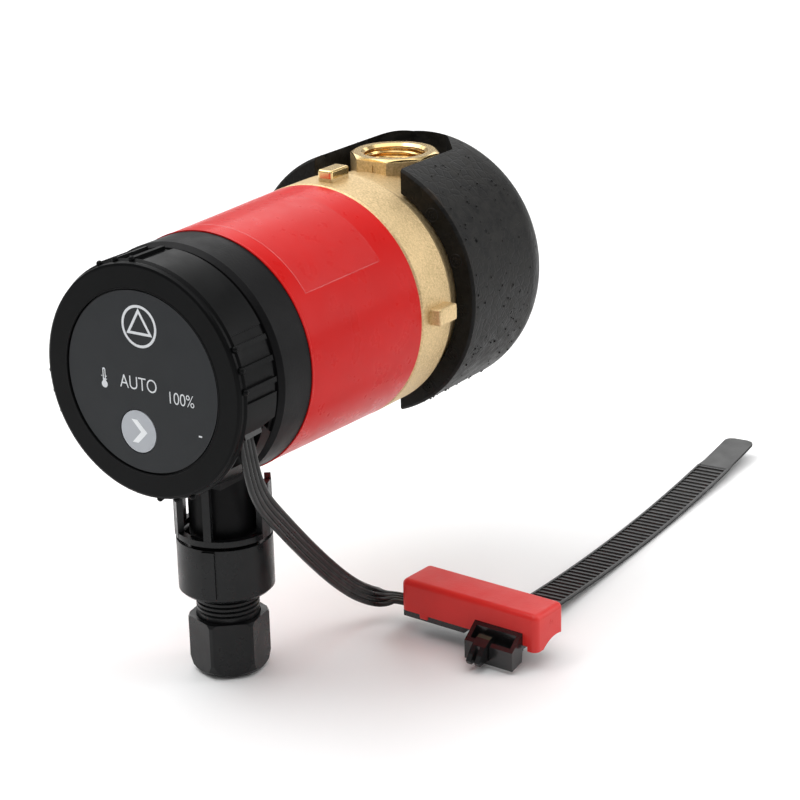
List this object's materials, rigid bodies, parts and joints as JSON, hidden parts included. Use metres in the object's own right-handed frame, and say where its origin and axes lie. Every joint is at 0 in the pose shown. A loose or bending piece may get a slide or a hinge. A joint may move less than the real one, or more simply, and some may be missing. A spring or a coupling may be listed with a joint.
{
  "type": "circulator pump",
  "caption": "Small hot-water circulator: brass housing with in-line threaded ports, red wet-rotor motor, round control box, pull-off plug and strap-on pipe sensor.",
  "frame": {"origin": "centre of the inlet port's mouth, on the port axis", "axes": "+Z runs along the port axis from the inlet to the outlet, the motor axis is parallel to Y at half height, and the control panel faces -Y"},
  "size_m": [0.128, 0.2786, 0.1441],
  "materials": {
    "cast_brass": "bead-blasted cast brass, machined in the ports",
    "shell_foam": "expanded polypropylene bead foam with small pits",
    "sleeve_red": "satin-gloss red moulded plastic",
    "film": "clear label film",
    "stainless": "drawn stainless sheet",
    "plated_steel": "zinc plated steel",
    "seal_rubber": "smooth moulded rubber",
    "ceramic": null,
    "carbon": "pressed carbon",
    "magnet": "sintered ferrite",
    "composite": "glass-filled composite",
    "lamination": "stacked electrical steel",
    "copper": "enamelled copper winding",
    "former": "natural polyamide",
    "box_black": "fine-grained black plastic",
    "cover_black": "semi-gloss black plastic",
    "board_green": "solder-masked laminate",
    "component_black": "moulded component bodies",
    "component_metal": "capacitor cans",
    "led": "clear lens",
    "label_black": "satin printed foil",
    "button_grey": "satin grey key",
    "arrow_white": "printed white",
    "plug_black": "semi-gloss black plastic",
    "contact_metal": "tin-plated contacts",
    "lead_black": "flexible ribbed jacket",
    "sensor_red": "gloss red moulded plastic",
    "sensor_black": "black moulded plastic",
    "sensing_copper": "tinned contact plate",
    "strap_black": "black polyamide"
  },
  "bodies": {
    "pump": {"pump_housing": "cast_brass", "motor_sleeve": "sleeve_red", "rating_film": "film", "rotor_can": "stainless", "bearing_plate": "stainless", "housing_seal": "seal_rubber", "can_seal": "seal_rubber", "clamp_ring": "plated_steel", "front_bearing": "carbon", "bearing_holder": "stainless", "rear_bearing": "carbon", "stator_core": "lamination", "stator_coils": "copper", "coil_formers": "former", "coil_pins": "contact_metal", "control_housing": "box_black", "circuit_board": "board_green", "board_screws": "plated_steel", "board_capacitors": "component_metal", "board_choke": "copper", "board_chips": "component_black", "indicator_leds": "led", "key_switch": "component_black", "inlet_contacts": "contact_metal", "control_cover": "cover_black", "label_panel": "label_black", "sensor_lead": "lead_black", "lead_clip": "sensor_black", "sensor_cover": "sensor_red", "sensor_base": "sensor_black", "sensing_plate": "sensing_copper", "strap": "strap_black", "buckle": "sensor_black"},
    "rotor": {"motor_shaft": "ceramic", "rotor_core": "lamination", "rotor_magnet": "magnet", "thrust_ring": "ceramic", "impeller": "composite"},
    "button": {"push_button": "button_grey", "button_arrow": "arrow_white"},
    "insulation": {"insulation_shell": "shell_foam"},
    "plug": {"plug_body": "plug_black", "contact_carrier": "former", "wire_clamps": "contact_metal", "lock_ring": "plug_black", "gland_seal": "seal_rubber"},
    "gland_claw": {"gland_claw": "plug_black"},
    "gland_nut": {"gland_nut": "plug_black"},
    "buckle_pawl": {"buckle_pawl": "sensor_black"}
  },
  "joints": [
    {"name": "rotor_spin", "type": "hinge", "parent": "pump", "child": "rotor", "pos_m": [0, 0, 0.04], "axis": [0, 1, 0], "continuous": true},
    {"name": "button_press", "type": "slide", "parent": "pump", "child": "button", "axis": [0, 1, 0], "range_m": [0, 0.0006], "stiffness_N_per_m": 1500, "springref_m": -0.0002},
    {"name": "shell_pull", "type": "slide", "parent": "pump", "child": "insulation", "axis": [0, 1, 0], "range_m": [0, 0.065]},
    {"name": "plug_pull", "type": "slide", "parent": "pump", "child": "plug", "axis": [0, 0, -1], "range_m": [0, 0.025]},
    {"name": "claw_rise", "type": "slide", "parent": "plug", "child": "gland_claw", "axis": [0, 0, 1], "range_m": [0, 0.003]},
    {"name": "nut_turn", "type": "hinge", "parent": "gland_claw", "child": "gland_nut", "pos_m": [0, -0.0976, -0.053], "axis": [0, 0, 1], "range_deg": [0, 721]},
    {"name": "pawl_flex", "type": "hinge", "parent": "pump", "child": "buckle_pawl", "pos_m": [0.06775, -0.05605, -0.0542], "axis": [-0.9974, 0.0715, 0], "range_deg": [0, 14], "stiffness_Nm_per_rad": 0.05, "springref_deg": -1.15}
  ],
  "couplings": [
    {"joint": "nut_turn", "follows": "claw_rise", "rad_per_m": 4188.8}
  ]
}
